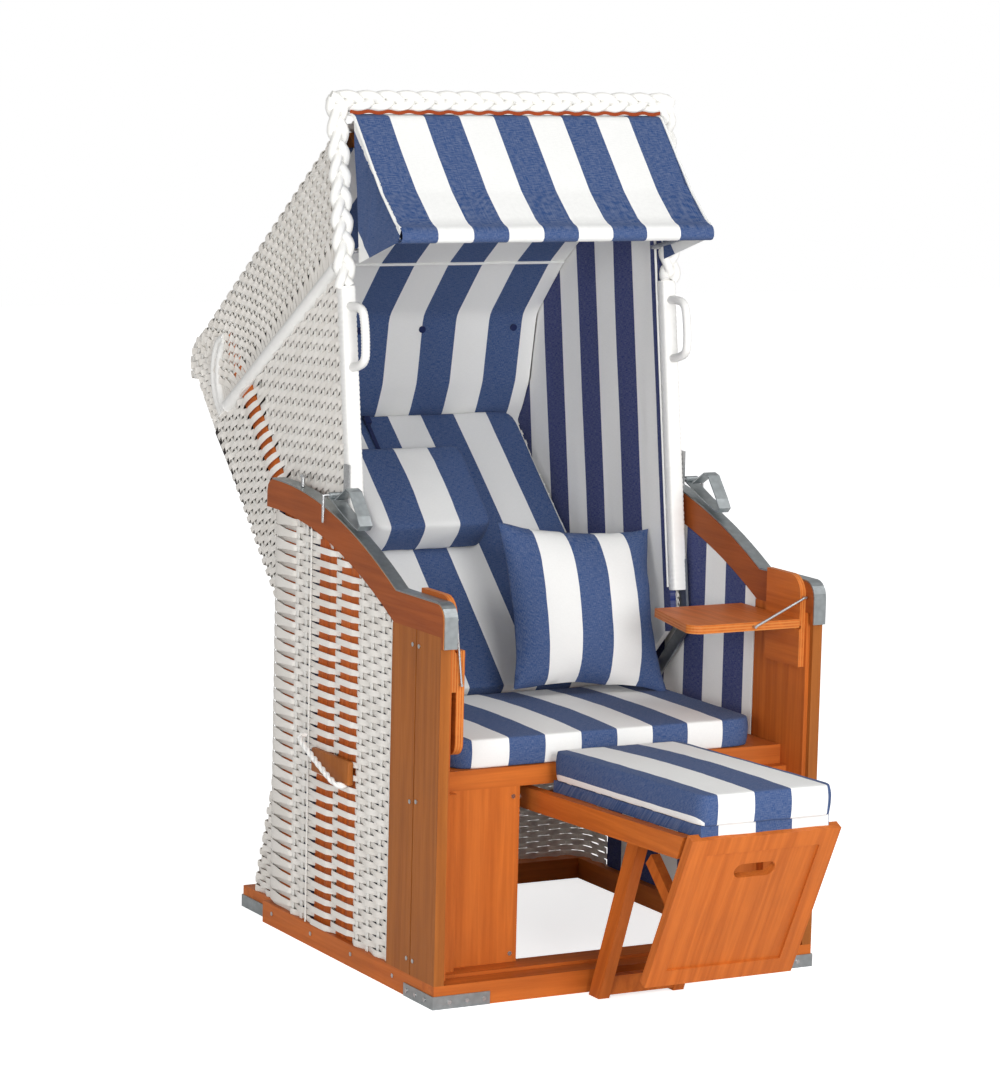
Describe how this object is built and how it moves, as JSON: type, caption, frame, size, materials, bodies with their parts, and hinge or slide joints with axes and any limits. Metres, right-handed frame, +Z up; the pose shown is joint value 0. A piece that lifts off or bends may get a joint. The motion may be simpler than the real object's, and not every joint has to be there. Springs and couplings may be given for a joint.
{
  "type": "hooded beach chair",
  "caption": "One-seat hooded beach chair with a woven tilting hood, striped cushions, fold-out awning, trays and footrest.",
  "frame": {"origin": "middle of the front sill's underside, where the chair rests on the ground", "axes": "+Z up, +Y to the chair's back, +X to the right as seen from the front"},
  "size_m": [0.8958, 1.6704, 1.6016],
  "materials": {
    "wood": "satin",
    "handle_wood": "satin",
    "wicker": "matte",
    "galvanised": "satin",
    "painted_tube": "satin",
    "fabric": "matte",
    "cord": "matte",
    "button": "gloss"
  },
  "bodies": {
    "base": {"front_sill": "wood", "side_sills": "wood", "rear_sill": "wood", "step_boards": "wood", "corner_brackets": "galvanised", "side_planks": "wood", "face_boards": "wood", "side_weave_left": "wicker", "side_weave_right": "wicker", "side_slats": "wood", "base_back": "wicker", "base_linings": "fabric", "arm_rail_left": "wood", "arm_rail_right": "wood", "rail_strips": "galvanised", "stop_bolts": "galvanised", "inner_posts": "wood", "front_panels": "wood", "seat_apron": "wood", "seat_frame": "wood", "seat_board": "wood", "seat_cushion": "fabric", "throw_pillow": "fabric", "tray_boards": "wood", "rope_handles": "handle_wood", "footrest_guides": "galvanised", "pivot_bolts": "galvanised", "base_screws": "galvanised"},
    "hood": {"hood_side_left": "wicker", "hood_side_right": "wicker", "hood_shell": "wicker", "braided_rim": "wicker", "hood_posts": "wicker", "hood_bars": "galvanised", "d_handles": "wicker", "hood_battens": "wood", "hood_side_linings": "fabric", "hood_back_lining": "fabric", "back_cushion": "fabric", "bolster": "fabric", "bolster_strap": "cord", "lining_buttons": "button", "latch_rods": "galvanised", "awning_cloth": "fabric"},
    "awning": {"awning_tube": "painted_tube"},
    "tray_left": {"tray_left": "wood"},
    "tray_right": {"tray_right": "wood"},
    "strut_left": {"strut_left": "galvanised"},
    "strut_right": {"strut_right": "galvanised"},
    "latch_left": {"latch_left": "galvanised"},
    "latch_right": {"latch_right": "galvanised"},
    "footrest_runner": {"footrest_axle": "galvanised"},
    "footrest": {"footrest_rails": "wood", "footrest_pad": "fabric", "footrest_cushion": "fabric"},
    "footrest_legs": {"footrest_legs": "wood"},
    "footrest_panel": {"footrest_panel": "wood", "panel_braces": "wood"}
  },
  "joints": [
    {"name": "hood_tilt", "type": "hinge", "parent": "base", "child": "hood", "pos_m": [0, 0.518, 0.44], "axis": [-1, 0, 0], "range_deg": [-7.5, 17]},
    {"name": "awning_swing", "type": "hinge", "parent": "hood", "child": "awning", "pos_m": [0, 0.49291, 1.30669], "axis": [-1, 0, 0], "range_deg": [0, 70], "deforming": ["awning_cloth"]},
    {"name": "tray_right_fold", "type": "hinge", "parent": "base", "child": "tray_right", "pos_m": [0.3567, 0.095, 0.64], "axis": [0, -1, 0], "range_deg": [0, 90], "deforming": ["seat_cushion"]},
    {"name": "tray_left_fold", "type": "hinge", "parent": "base", "child": "tray_left", "pos_m": [-0.3567, 0.095, 0.64], "axis": [0, -1, 0], "range_deg": [0, 90], "deforming": ["seat_cushion"]},
    {"name": "strut_right_swing", "type": "hinge", "parent": "base", "child": "strut_right", "pos_m": [0.363, -0.006, 0.697], "axis": [0, -1, 0], "range_deg": [0, 60]},
    {"name": "strut_left_swing", "type": "hinge", "parent": "base", "child": "strut_left", "pos_m": [-0.363, -0.006, 0.697], "axis": [0, -1, 0], "range_deg": [0, 60]},
    {"name": "latch_left_lift", "type": "hinge", "parent": "hood", "child": "latch_left", "pos_m": [-0.383, 0.433, 0.862], "axis": [-1, 0, 0], "range_deg": [0, 35]},
    {"name": "latch_right_lift", "type": "hinge", "parent": "hood", "child": "latch_right", "pos_m": [0.383, 0.433, 0.862], "axis": [-1, 0, 0], "range_deg": [0, 35]},
    {"name": "footrest_slide", "type": "slide", "parent": "base", "child": "footrest_runner", "axis": [0, -1, 0], "range_m": [-0.012, 0.008]},
    {"name": "footrest_lift", "type": "hinge", "parent": "footrest_runner", "child": "footrest", "pos_m": [0, 0.128, 0.338], "axis": [-1, 0, 0], "range_deg": [0, 9.4]},
    {"name": "footrest_legs_swing", "type": "hinge", "parent": "footrest", "child": "footrest_legs", "pos_m": [0, -0.194, 0.34924], "axis": [-1, 0, 0], "range_deg": [0, 8.3]},
    {"name": "footrest_panel_swing", "type": "hinge", "parent": "footrest", "child": "footrest_panel", "pos_m": [0, -0.44917, 0.37469], "axis": [-1, 0, 0], "range_deg": [0, 26.4]}
  ],
  "couplings": [
    {"joint": "strut_right_swing", "follows": "tray_right_fold", "ratio": 0.66},
    {"joint": "strut_left_swing", "follows": "tray_left_fold", "ratio": 0.66},
    {"joint": "footrest_legs_swing", "follows": "footrest_lift", "ratio": 0.88}
  ]
}
